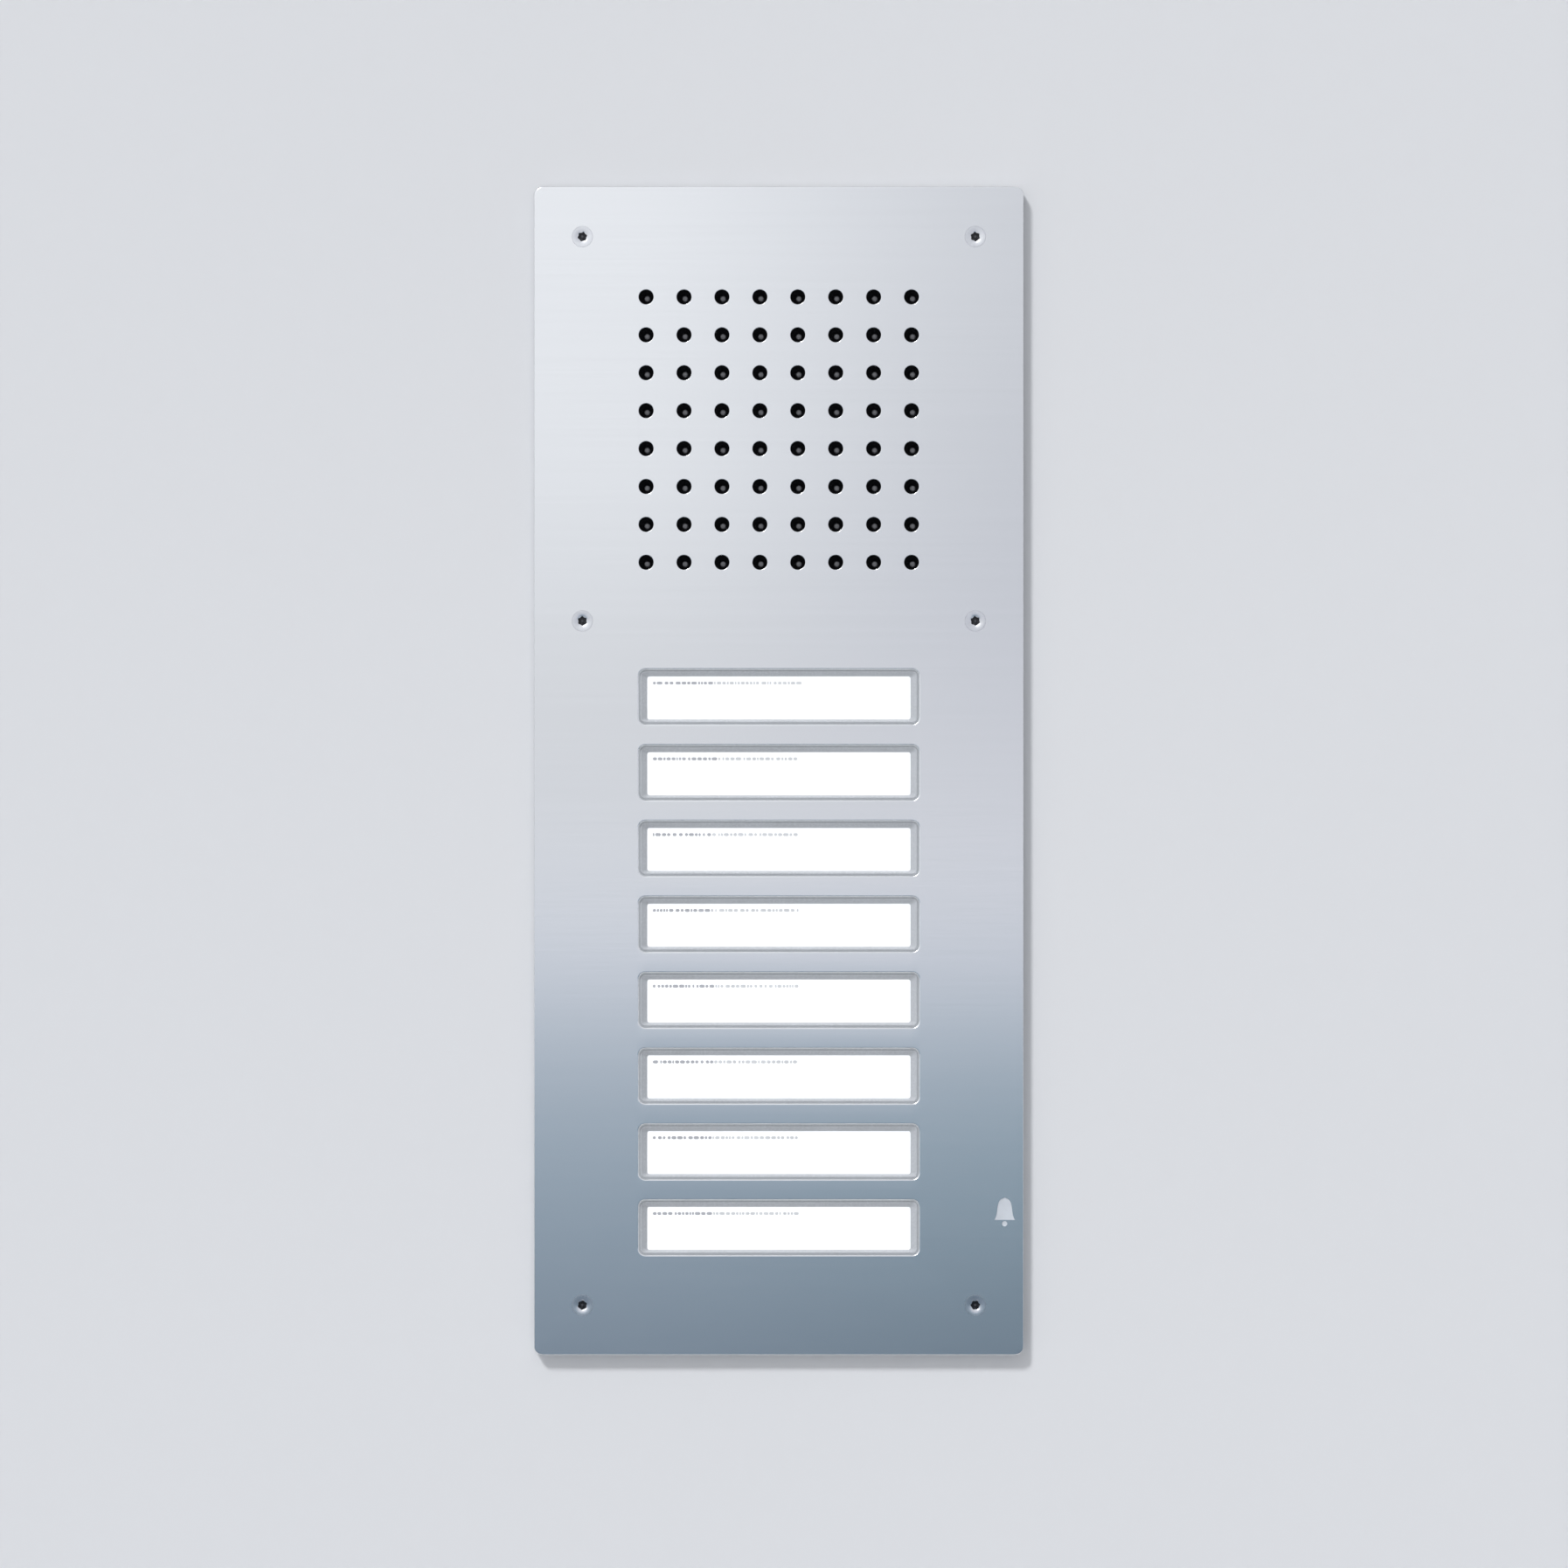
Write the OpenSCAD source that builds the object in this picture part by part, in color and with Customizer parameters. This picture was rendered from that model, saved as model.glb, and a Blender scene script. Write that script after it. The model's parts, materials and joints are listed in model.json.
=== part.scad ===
// Flush-mounted audio door station: a steel front panel with a speech grille and a column of
// call buttons, on an in-wall back box. +X is to the right, -Y faces the visitor, +Z is up.
// The origin is the middle of the panel on the wall's surface (the plane y = 0).

/* [Front panel] */
// Width of the front panel
panel_w = 142; // [138:1:150]
// Height of the front panel
panel_h = 339; // [337:1:350]
// Thickness of the steel sheet
panel_t = 3; // [2.5:0.5:4]
// Radius of the panel's corners
corner_r = 2.5; // [1:0.5:4]
// Distance of the screws from the panel's upright centre line
screw_x = 57; // [56.5:0.25:58]

/* [Speech grille] */
// Holes along each side of the square grille
grille_count = 8; // [4:1:8]
// Distance between grille holes
grille_pitch = 11; // [9:0.5:11]
// Diameter of a grille hole
grille_hole_d = 4.25; // [3:0.25:5]
// Height of the grille's centre above the panel's centre
grille_z = 99; // [98:0.5:100]

/* [Call buttons] */
// Distance between call buttons
button_pitch = 22; // [21:0.5:22]
// Height of the top button's centre above the panel's centre
top_button_z = 21.5; // [20:0.5:22]
// Width of a button's window in the panel
window_w = 81.4; // [80:0.1:82]
// Height of a button's window in the panel
window_h = 16; // [15:0.1:16.4]
// Gap round a button cap in its window
window_gap = 0.35; // [0.3:0.05:1]
// How far a button cap sits behind the panel's front
cap_recess = 0.8; // [0.4:0.1:1]
// How far a button travels when it is pressed
press_travel = 1; // [0.6:0.1:1]

/* [Back box] */
// Width of the back box
box_w = 128; // [126:1:130]
// Height of the back box
box_h = 325; // [320:1:328]
// Depth of the back box in the wall
box_depth = 50; // [45:1:60]
// Thickness of the back box's sheet
sheet_t = 1.5; // [1:0.25:1.5]
// Radius of the cable grommet's bore
cable_r = 4; // [3:0.5:5]

/* [Hidden] */
$fn = 64;
eps = 0.2;

// Depths of the layers behind the panel, from the wall's surface
gasket_t = 1;
panel_back = -gasket_t;
panel_front = panel_back - panel_t;
cloth_back = panel_back + 0.5;
baffle_back = cloth_back + 2;
speaker_board_y = 22;
board_t = 1.6;
speaker_rear = speaker_board_y + board_t;
button_board_y = 11;
button_rear = button_board_y + board_t;

// Screws that hold the panel
screw_rows = [155, 43.5, -155];
m3_r = 1.5;
shank_r = 1.45;
head_r = 3;
clear_r = 1.7;

// Speaker module
module_size = 96;
post_reach = 44;
speaker_r = 29;
cone_r = 26;
coil_r = 9.4;
mic_x = 2.5 * grille_pitch;
mic_z = grille_z - 3.5 * grille_pitch;
mic_r = 4.85;

// Button module
button_count = 8;
button_z = [for (i = [0 : button_count - 1]) top_button_z - i * button_pitch];
array_z = (button_z[0] + button_z[button_count - 1]) / 2;
carrier_w = 100;
carrier_h = 188;
cell_w = 88;
cell_h = 19;
cap_w = window_w - 2 * window_gap;
cap_h = window_h - 2 * window_gap;
cap_front = panel_front + cap_recess;
flange_w = 86;
flange_h = 18;
flange_front = panel_back + 0.1;
flange_back = 0.6;
label_w = 76.5;
label_h = 12.6;
label_t = 0.4;
label_drop = 0.3;
label_front = cap_front + 1.4;
peg_x = 40.5;
peg_r = 1.35;
peg_end = 7;
ledge_front = 5;
ledge_t = 1.5;
switch_front = peg_end + press_travel + 0.2;
guide_front = flange_back + press_travel + 0.4;
led_t = 0.8;
stud_x = 47.2;
stud_rows = [array_z - 88, array_z, array_z + 88];

// Plugs of the flat cable between the two boards
plug_h = 7.4;
upper_plug_z = 60;
lower_plug_z = 28;
ribbon_w = 20;
ribbon_t = 0.9;

// Terminals and volume trimmer
pole_pitch = 5;
pole_count = 6;
terminal_z = 128;
terminal_depth = 10;
trimmer_x = 30;
trimmer_r = 2.5;

// ---- Shared shapes -----------------------------------------------------------------------

// A rectangle with round corners, flat on the drawing plane
module rounded(w, h, r) {
  square([w - 2 * r, h], center = true);
  square([w, h - 2 * r], center = true);
  for (sx = [-1, 1], sz = [-1, 1])
    translate([sx * (w / 2 - r), sz * (h / 2 - r)]) circle(r);
}

// An outline drawn in X and Z, given thickness from depth y0 to depth y1
module slab(y0, y1) {
  translate([0, y1, 0]) rotate([90, 0, 0]) linear_extrude(y1 - y0) children();
}

// A block between two depths, centred on x and z
module block(x, z, w, h, y0, y1) {
  translate([x - w / 2, y0, z - h / 2]) cube([w, y1 - y0, h]);
}

// A round bar along Y between two depths
module bar(x, z, r, y0, y1) {
  translate([x, y1, z]) rotate([90, 0, 0]) cylinder(r = r, h = y1 - y0);
}

// A round part turned about Y from an outline of [radius, depth] points
module turned(outline) {
  rotate([-90, 0, 0]) rotate_extrude() polygon(outline);
}

// A tube along Y between two depths
module tube(x, z, r_out, r_in, y0, y1) {
  translate([x, 0, z])
    turned([[r_in, y0], [r_out, y0], [r_out, y1], [r_in, y1]]);
}

// The places of the six panel screws
module at_screws() {
  for (sx = [-1, 1], z = screw_rows) translate([sx * screw_x, 0, z]) children();
}

// The places of the speaker module's four studs
module at_speaker_studs() {
  for (sx = [-1, 1], sz = [-1, 1])
    translate([sx * post_reach, 0, grille_z + sz * post_reach]) children();
}

// The places of the button module's six studs
module at_button_studs() {
  for (sx = [-1, 1], z = stud_rows) translate([sx * stud_x, 0, z]) children();
}

// ---- Panel and its fixings ---------------------------------------------------------------

module front_panel() {
  sink_depth = head_r - clear_r;
  color("lightgray") difference() {
    slab(panel_front, panel_back) difference() {
      rounded(panel_w, panel_h, corner_r);
      for (i = [0 : grille_count - 1], j = [0 : grille_count - 1])
        translate([(i - (grille_count - 1) / 2) * grille_pitch,
                   grille_z + (j - (grille_count - 1) / 2) * grille_pitch])
          circle(d = grille_hole_d);
      for (z = button_z) translate([0, z]) rounded(window_w, window_h, 2);
    }
    at_screws() {
      bar(0, 0, clear_r, panel_front - eps, panel_back + eps);
      turned([[0, panel_front - eps], [head_r + 0.05 + eps, panel_front - eps],
              [clear_r, panel_front + sink_depth + 0.05], [0, panel_front + sink_depth + 0.05]]);
    }
  }
}

// A sealing strip round the panel's edge that lies on the wall just outside the back box
module panel_gasket() {
  inset = 6;
  gap = 0.4;
  color([0.12, 0.12, 0.12]) slab(panel_back, 0) difference() {
    rounded(panel_w - inset, panel_h - inset, corner_r);
    rounded(box_w + gap, box_h + gap, box_corner_r + gap / 2);
  }
}

module panel_screws() {
  socket_depth = 1.2;
  color("silver") at_screws() difference() {
    turned([[0, panel_front], [head_r, panel_front],
            [shank_r, panel_front + head_r - shank_r], [shank_r, 10], [0, 10]]);
    difference() {
      translate([0, panel_front + socket_depth, 0]) rotate([90, 0, 0])
        cylinder(r = 1.35, h = socket_depth + eps, $fn = 6);
      bar(0, 0, 0.45, panel_front, panel_front + socket_depth + eps);
    }
  }
}

module panel_studs() {
  color("silver") {
    at_speaker_studs() bar(0, 0, m3_r, panel_back, speaker_rear + 4);
    at_button_studs() bar(0, 0, m3_r, panel_back, button_rear + 4);
  }
}

// A plain hexagon nut seated on a board's rear face
module hex_nut(y0) {
  nut_h = 2.4;
  across_corners_r = 3.175;
  difference() {
    translate([0, y0 + nut_h, 0]) rotate([90, 0, 0])
      cylinder(r = across_corners_r, h = nut_h, $fn = 6);
    bar(0, 0, m3_r + 0.05, y0 - eps, y0 + nut_h + eps);
  }
}

module stud_nuts() {
  color("gold") {
    at_speaker_studs() hex_nut(speaker_rear);
    at_button_studs() hex_nut(button_rear);
  }
}

// ---- Back box ----------------------------------------------------------------------------

tab_front = 0;
tab_t = 1.5;
tab_h = 11;
box_corner_r = 3;
nut_body_r = 2.5;
knockout_r = 10;
knockout_y = 28;
rear_hole_x = 45;
rear_hole_z = 125;
grommet_groove_r = 9;
lug_reach = 6;

// A shallow ring groove that marks a knock-out, sunk along Z from z = 0
module knockout_groove() {
  translate([0, 0, -0.6]) difference() {
    cylinder(r = knockout_r, h = 0.6 + eps);
    translate([0, 0, -eps]) cylinder(r = knockout_r - 0.7, h = 0.6 + 3 * eps);
  }
}

module back_box() {
  half_w = box_w / 2;
  half_h = box_h / 2;
  color("gainsboro") difference() {
    union() {
      difference() {
        slab(0, box_depth) rounded(box_w, box_h, box_corner_r);
        slab(-eps, box_depth - sheet_t)
          rounded(box_w - 2 * sheet_t, box_h - 2 * sheet_t, box_corner_r - sheet_t);
      }
      // tabs that carry the rivet nuts
      for (sx = [-1, 1], z = screw_rows)
        block(sx * (half_w - sheet_t / 2 - tab_h / 2), z, tab_h + sheet_t / 2, tab_h,
              tab_front, tab_front + tab_t);
      // lugs that key into the mortar
      for (sx = [-1, 1], z = [-100, 0, 100])
        block(sx * (half_w + lug_reach / 2 - 0.5), z, lug_reach + 1, 8, 14, 14 + sheet_t);
    }
    at_screws() bar(0, 0, nut_body_r + 0.05, tab_front - eps, tab_front + tab_t + eps);
    for (sx = [-1, 1], sz = [-1, 1])
      bar(sx * rear_hole_x, sz * rear_hole_z, 2.25, box_depth - sheet_t - eps, box_depth + eps);
    bar(0, 0, grommet_groove_r + 0.05, box_depth - sheet_t - eps, box_depth + eps);
    for (sx = [-1, 1], z = [-75, 75])
      translate([sx * half_w, knockout_y, z]) rotate([0, sx * 90, 0]) knockout_groove();
    for (x = [-30, 30]) {
      translate([x, knockout_y, half_h]) knockout_groove();
      translate([x, knockout_y, -half_h]) mirror([0, 0, 1]) knockout_groove();
    }
  }
}

module rivet_nuts() {
  flange_t = 0.6;
  color("goldenrod") at_screws()
    turned([[m3_r, tab_front - flange_t], [3.5, tab_front - flange_t], [3.5, tab_front],
            [nut_body_r, tab_front], [nut_body_r, 9], [m3_r, 9]]);
}

module cable_grommet() {
  flange_r = 12;
  lip = 2;
  inner = box_depth - sheet_t;
  color([0.1, 0.1, 0.1])
    turned([[cable_r, inner - lip], [flange_r - 1, inner - lip], [flange_r, inner - lip + 1],
            [flange_r, inner], [grommet_groove_r, inner], [grommet_groove_r, box_depth],
            [flange_r, box_depth], [flange_r, box_depth + lip - 1],
            [flange_r - 1, box_depth + lip], [cable_r, box_depth + lip]]);
}

// ---- Speaker module ----------------------------------------------------------------------

module acoustic_cloth() {
  color([0.08, 0.08, 0.08]) difference() {
    translate([0, 0, grille_z]) slab(panel_back, cloth_back) square(92, center = true);
    at_speaker_studs() bar(0, 0, clear_r, panel_back - eps, cloth_back + eps);
  }
}

module speaker_housing() {
  wall = 2;
  color([0.16, 0.16, 0.17]) difference() {
    union() {
      translate([0, 0, grille_z]) difference() {
        slab(cloth_back, speaker_board_y) rounded(module_size, module_size, 3);
        slab(baffle_back, speaker_board_y + eps)
          rounded(module_size - 2 * wall, module_size - 2 * wall, 1);
      }
      at_speaker_studs() bar(0, 0, 3.6, baffle_back - eps, speaker_board_y);
    }
    at_speaker_studs() bar(0, 0, clear_r, cloth_back - eps, speaker_board_y + eps);
    bar(0, grille_z, speaker_r, cloth_back - eps, baffle_back + eps);
    bar(mic_x, mic_z, mic_r - 0.6, cloth_back - eps, baffle_back + eps);
  }
}

module speaker_basket() {
  flange_r = 33;
  seat_r = 28.6;
  back_r = 15.5;
  back_y = 12;
  color("dimgray") translate([0, 0, grille_z]) difference() {
    turned([[seat_r, baffle_back], [flange_r, baffle_back], [flange_r, baffle_back + 1.2],
            [seat_r + 1.4, baffle_back + 1.2], [back_r + 0.8, back_y], [coil_r + 1, back_y],
            [coil_r + 1, back_y - 1], [back_r, back_y - 1], [seat_r, baffle_back + 1.5]]);
    // windows between the basket's spokes
    for (a = [0 : 60 : 300])
      rotate([0, a, 0]) block(22.5, 0, 9, 11, baffle_back + 2.3, back_y - 1.4);
  }
}

module speaker_magnet() {
  front = 12;
  plate_t = 1.5;
  rear = 20;
  gap_in = coil_r - 1.1;
  gap_out = coil_r + 0.5;
  color("darkgray") translate([0, 0, grille_z])
    turned([[0, front], [gap_in, front], [gap_in, rear - plate_t], [gap_out, rear - plate_t],
            [gap_out, front], [16, front], [16, front + plate_t], [14.5, front + plate_t],
            [14.5, rear - plate_t], [16, rear - plate_t], [16, rear], [0, rear]]);
}

module speaker_cone() {
  paper = 0.6;
  neck_y = 10;
  edge_y = 3;
  cap_y = 7;
  color([0.1, 0.1, 0.1]) translate([0, 0, grille_z])
    turned([[0, cap_y], [coil_r - 3, cap_y + 0.7], [coil_r, neck_y - 0.8], [cone_r, edge_y],
            [cone_r, edge_y + paper], [coil_r, neck_y], [coil_r, neck_y + 5],
            [coil_r - 0.6, neck_y + 5], [coil_r - 0.6, neck_y], [coil_r - 3.2, cap_y + 1.3],
            [0, cap_y + paper]]);
}

module speaker_surround() {
  color([0.05, 0.05, 0.05]) translate([0, 0, grille_z])
    turned([[cone_r + 0.1, 2.6], [cone_r + 0.6, 2], [27.6, 1.8], [28.5, 2.2],
            [28.5, 2.9], [27.4, 2.4], [cone_r + 0.8, 2.6], [cone_r + 0.1, 3.2]]);
}

module microphone_capsule() {
  color("silver") bar(mic_x, mic_z, mic_r, baffle_back + 0.2, baffle_back + 6.9);
}

module microphone_boot() {
  boot_r = 7;
  translate([mic_x, 0, mic_z]) color([0.15, 0.15, 0.15])
    turned([[mic_r + 0.05, baffle_back], [boot_r, baffle_back], [boot_r, baffle_back + 8.2],
            [1.5, baffle_back + 8.2], [1.5, baffle_back + 7], [mic_r + 0.05, baffle_back + 7]]);
}

module speaker_board() {
  size = module_size - 1;
  color("darkgreen") difference() {
    translate([0, 0, grille_z]) slab(speaker_board_y, speaker_rear) square(size, center = true);
    at_speaker_studs() bar(0, 0, clear_r, speaker_board_y - eps, speaker_rear + eps);
  }
}

// A capacitor can on a board's rear face
module capacitor(x, z, r, h) {
  bar(x, z, r, speaker_rear, speaker_rear + h);
}

module board_components() {
  color([0.2, 0.2, 0.22]) {
    capacitor(-34, 118, 5, 11);
    capacitor(-34, 105, 4, 9);
    capacitor(34, 88, 4, 9);
    capacitor(34, 78, 3.15, 7);
    // amplifier, codec and small driver chips
    block(-8, 98, 14, 14, speaker_rear, speaker_rear + 1.6);
    block(16, 100, 10, 7, speaker_rear, speaker_rear + 1.8);
    block(16, 84, 6, 5, speaker_rear, speaker_rear + 1.5);
    block(-16, 78, 6, 5, speaker_rear, speaker_rear + 1.5);
    // door-release relay and power coil
    block(-32, 82, 15, 20, speaker_rear, speaker_rear + 10);
    block(2, 76, 10, 10, speaker_rear, speaker_rear + 4.5);
    // plugs of the flat cable
    block(0, upper_plug_z, 26, 8, speaker_rear, speaker_rear + plug_h);
    block(0, lower_plug_z, 26, 8, button_rear, button_rear + plug_h);
  }
}

module terminal_block() {
  body_w = pole_count * pole_pitch + 1;
  body_h = 9;
  color("darkgreen") difference() {
    block(0, terminal_z, body_w, body_h, speaker_rear, speaker_rear + terminal_depth);
    for (i = [0 : pole_count - 1]) {
      x = (i - (pole_count - 1) / 2) * pole_pitch;
      bar(x, terminal_z + 1, 1.8, speaker_rear + 5.5, speaker_rear + terminal_depth + eps);
      block(x, terminal_z - body_h / 2, 3, 8, speaker_rear + 1.5, speaker_rear + 4.5);
    }
  }
}

module terminal_screws() {
  head_top = speaker_rear + 8;
  color("silver") for (i = [0 : pole_count - 1]) {
    x = (i - (pole_count - 1) / 2) * pole_pitch;
    difference() {
      bar(x, terminal_z + 1, 1.7, speaker_rear + 5.6, head_top);
      block(x, terminal_z + 1, 4, 0.6, head_top - 0.9, head_top + eps);
    }
  }
}

module trimmer_body() {
  color([0.15, 0.3, 0.6]) difference() {
    block(trimmer_x, terminal_z, 7, 7, speaker_rear, speaker_rear + 4);
    bar(trimmer_x, terminal_z, trimmer_r + 0.06, speaker_rear + 2.4, speaker_rear + 4 + eps);
  }
}

module trimmer_rotor() {
  top = speaker_rear + 4.4;
  color("white") difference() {
    bar(trimmer_x, terminal_z, trimmer_r, speaker_rear + 2.5, top);
    block(trimmer_x, terminal_z, 3.8, 0.8, top - 1, top + eps);
    block(trimmer_x, terminal_z + 0.95, 0.8, 1.9, top - 1, top + eps);
  }
}

// Points [z, y] along an arc about a centre
function arc(cz, cy, r, a0, a1, n = 8) =
  [for (i = [0 : n]) let (a = a0 + (a1 - a0) * i / n) [cz + r * cos(a), cy + r * sin(a)]];

module ribbon_cable() {
  top_y = speaker_rear + plug_h;
  low_y = button_rear + plug_h;
  bend = 3;
  drop_z = 46;
  // one face of the ribbon: level on the upper plug, down past the board's edge, level again
  front_face = concat([[upper_plug_z + 4, top_y]],
                      arc(drop_z + bend, top_y - bend, bend, 90, 180),
                      arc(drop_z - bend, low_y + bend, bend, 0, -90),
                      [[lower_plug_z - 4, low_y]]);
  rear_face = concat([[lower_plug_z - 4, low_y + ribbon_t]],
                     arc(drop_z - bend, low_y + bend, bend - ribbon_t, -90, 0),
                     arc(drop_z + bend, top_y - bend, bend + ribbon_t, 180, 90),
                     [[upper_plug_z + 4, top_y + ribbon_t]]);
  color("gray") rotate([0, -90, 0]) linear_extrude(ribbon_w, center = true)
    polygon(concat(front_face, rear_face));
}

// ---- Button module -----------------------------------------------------------------------

module button_carrier() {
  ledge_w = 6.5;
  color([0.2, 0.2, 0.21]) difference() {
    union() {
      slab(panel_back, button_board_y) difference() {
        translate([0, array_z]) rounded(carrier_w, carrier_h, 2);
        for (z = button_z) translate([0, z]) square([cell_w, cell_h], center = true);
      }
      for (sx = [-1, 1], z = button_z)
        block(sx * (cell_w / 2 - ledge_w / 2 + 0.5), z, ledge_w + 1, cell_h + 1,
              ledge_front, ledge_front + ledge_t);
    }
    for (sx = [-1, 1], z = button_z)
      bar(sx * peg_x, z, peg_r + 0.07, ledge_front - eps, ledge_front + ledge_t + eps);
    at_button_studs() bar(0, 0, clear_r, panel_back - eps, button_board_y + eps);
  }
}

module button_board() {
  color("darkgreen") difference() {
    translate([0, 0, array_z]) slab(button_board_y, button_rear)
      square([carrier_w, carrier_h], center = true);
    at_button_studs() bar(0, 0, clear_r, button_board_y - eps, button_rear + eps);
  }
}

module button_leds() {
  color("lightyellow") for (x = [-24, 0, 24], z = button_z)
    block(x, z, 3.2, 2.8, button_board_y - led_t, button_board_y);
}

module light_guides() {
  color([0.95, 0.95, 0.97]) for (z = button_z) {
    block(0, z, 74, 12, guide_front, button_board_y - led_t);
    for (sx = [-1, 1])
      block(sx * 35.5, z, 3, 12, button_board_y - led_t - eps, button_board_y);
  }
}

module switch_bodies() {
  color([0.1, 0.1, 0.1]) for (sx = [-1, 1], z = button_z) difference() {
    block(sx * peg_x, z, 6, 6, switch_front, button_board_y);
    bar(sx * peg_x, z, 1.1, switch_front - eps, button_board_y - 0.5);
  }
}

// A clear cap: a window plate in front, a flange that keeps it behind the panel, a pocket for
// the name label and two pegs that slide in the carrier
module button_cap(i) {
  color([0.85, 0.88, 0.9, 0.5]) translate([0, 0, button_z[i - 1]]) {
    difference() {
      union() {
        slab(cap_front, flange_front + eps) rounded(cap_w, cap_h, 1.6);
        slab(flange_front, flange_back) rounded(flange_w, flange_h, 1.6);
      }
      block(0, -label_drop, label_w + 0.4, label_h + 0.4, label_front, flange_back + eps);
    }
    for (sx = [-1, 1]) bar(sx * peg_x, 0, peg_r, flange_back - eps, peg_end);
  }
}

module name_label(i) {
  color("white")
    block(0, button_z[i - 1] - label_drop, label_w, label_h, label_front, label_front + label_t);
}

module return_springs(i) {
  color("silver") for (sx = [-1, 1])
    tube(sx * peg_x, button_z[i - 1], 2.1, 1.5, flange_back, ledge_front);
}

module switch_stems(i) {
  color("white") for (sx = [-1, 1])
    bar(sx * peg_x, button_z[i - 1], 1, peg_end, switch_front + 1.1);
}

// ---- Assembly ----------------------------------------------------------------------------

front_panel();
panel_gasket();
panel_screws();
panel_studs();
stud_nuts();
back_box();
rivet_nuts();
cable_grommet();
acoustic_cloth();
speaker_housing();
speaker_basket();
speaker_magnet();
speaker_cone();
speaker_surround();
microphone_capsule();
microphone_boot();
speaker_board();
board_components();
terminal_block();
terminal_screws();
trimmer_body();
trimmer_rotor();
ribbon_cable();
button_carrier();
button_board();
button_leds();
light_guides();
switch_bodies();
for (i = [1 : button_count]) {
  button_cap(i);
  name_label(i);
  return_springs(i);
  switch_stems(i);
}
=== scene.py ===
"""The looks of a flush-mounted door intercom panel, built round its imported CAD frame."""
import json
import math
import random

import bmesh
import bpy
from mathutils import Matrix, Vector


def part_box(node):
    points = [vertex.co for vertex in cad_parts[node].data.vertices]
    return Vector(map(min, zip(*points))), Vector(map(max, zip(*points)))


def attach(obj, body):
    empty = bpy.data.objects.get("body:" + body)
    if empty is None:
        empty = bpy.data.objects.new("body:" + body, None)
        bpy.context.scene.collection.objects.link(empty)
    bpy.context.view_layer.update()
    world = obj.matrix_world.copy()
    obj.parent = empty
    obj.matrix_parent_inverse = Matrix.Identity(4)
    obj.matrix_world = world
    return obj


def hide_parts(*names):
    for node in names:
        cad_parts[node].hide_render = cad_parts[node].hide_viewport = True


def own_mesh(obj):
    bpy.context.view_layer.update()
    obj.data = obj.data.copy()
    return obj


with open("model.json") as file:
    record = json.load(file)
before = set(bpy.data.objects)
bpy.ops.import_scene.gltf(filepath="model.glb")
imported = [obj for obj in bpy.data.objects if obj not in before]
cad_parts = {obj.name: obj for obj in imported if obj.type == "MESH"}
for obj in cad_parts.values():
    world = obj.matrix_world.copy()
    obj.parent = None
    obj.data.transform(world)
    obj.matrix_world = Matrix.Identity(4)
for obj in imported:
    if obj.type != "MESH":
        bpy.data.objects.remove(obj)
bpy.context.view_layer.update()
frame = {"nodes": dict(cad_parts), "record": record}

MM = 0.001
HOUSING = "housing"

# ---- Sizes in millimetres, from the frame where it has them --------------------------------

# The plate, its round corners and the fillet along its edges
panel_low, panel_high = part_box("front_panel")
FRONT = panel_low.y / MM
BACK = panel_high.y / MM
PANEL_W = (panel_high.x - panel_low.x) / MM
PANEL_H = (panel_high.z - panel_low.z) / MM
CORNER_R = 2.5
EDGE_R = 0.35

# The speech grille's holes, and the cloth behind them, which has the same middle
HOLE_R = 2.125
HOLE_PITCH = 11.0
HOLES_A_SIDE = 8
HOLE_FILLET = 0.22
cloth_low, cloth_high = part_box("acoustic_cloth")
GRILLE_Z = (cloth_low.z + cloth_high.z) / 2 / MM

# The windows in the plate, and the caps that fill them but for a gap
WINDOW_W, WINDOW_H, WINDOW_R = 81.4, 16.0, 2.0
WINDOW_FILLET = 0.4
CAP_GAP, CAP_R = 0.35, 1.6
CAP_W, CAP_H = WINDOW_W - 2 * CAP_GAP, WINDOW_H - 2 * CAP_GAP
BUTTONS = range(1, 9)


def cad_centre(node):
    """The middle of a CAD node's box, in millimetres."""
    low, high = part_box(node)
    return (low + high) / 2 / MM


BUTTON_Z = {i: cad_centre(f"button_cap_{i}").z for i in BUTTONS}

# The panel screws
SCREW_X = 57.0
SCREW_ROWS = (155.0, 43.5, -155.0)
SCREWS = [(side * SCREW_X, z) for side in (-1, 1) for z in SCREW_ROWS]
HEAD_R = 3.0


def hole_centres():
    """The middles [x, z] of the grille's holes."""
    span = (HOLES_A_SIDE - 1) / 2
    columns = [(i - span) * HOLE_PITCH for i in range(HOLES_A_SIDE)]
    rows = [GRILLE_Z + (j - span) * HOLE_PITCH for j in range(HOLES_A_SIDE)]
    return [(x, z) for x in columns for z in rows]


# ---- Mesh tools ----------------------------------------------------------------------------

def rounded_outline(width, height, radius, steps=8, centre=(0.0, 0.0)):
    """Points [x, z] round a rectangle with round corners, counter-clockwise seen from the front."""
    points = []
    for quarter, (sx, sz) in enumerate(((1, 1), (-1, 1), (-1, -1), (1, -1))):
        cx = centre[0] + sx * (width / 2 - radius)
        cz = centre[1] + sz * (height / 2 - radius)
        for k in range(steps + 1):
            a = math.radians(90 * (quarter + k / steps))
            points.append((cx + radius * math.cos(a), cz + radius * math.sin(a)))
    return points


def circle_outline(radius, steps=32, centre=(0.0, 0.0)):
    """Points [x, z] round a circle, counter-clockwise seen from the front."""
    turns = [2 * math.pi * k / steps for k in range(steps)]
    return [(centre[0] + radius * math.cos(a), centre[1] + radius * math.sin(a)) for a in turns]


def ring_at(outline, y):
    """An outline placed at a depth, as points in millimetres."""
    return [Vector((x, y, z)) for x, z in outline]


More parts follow.
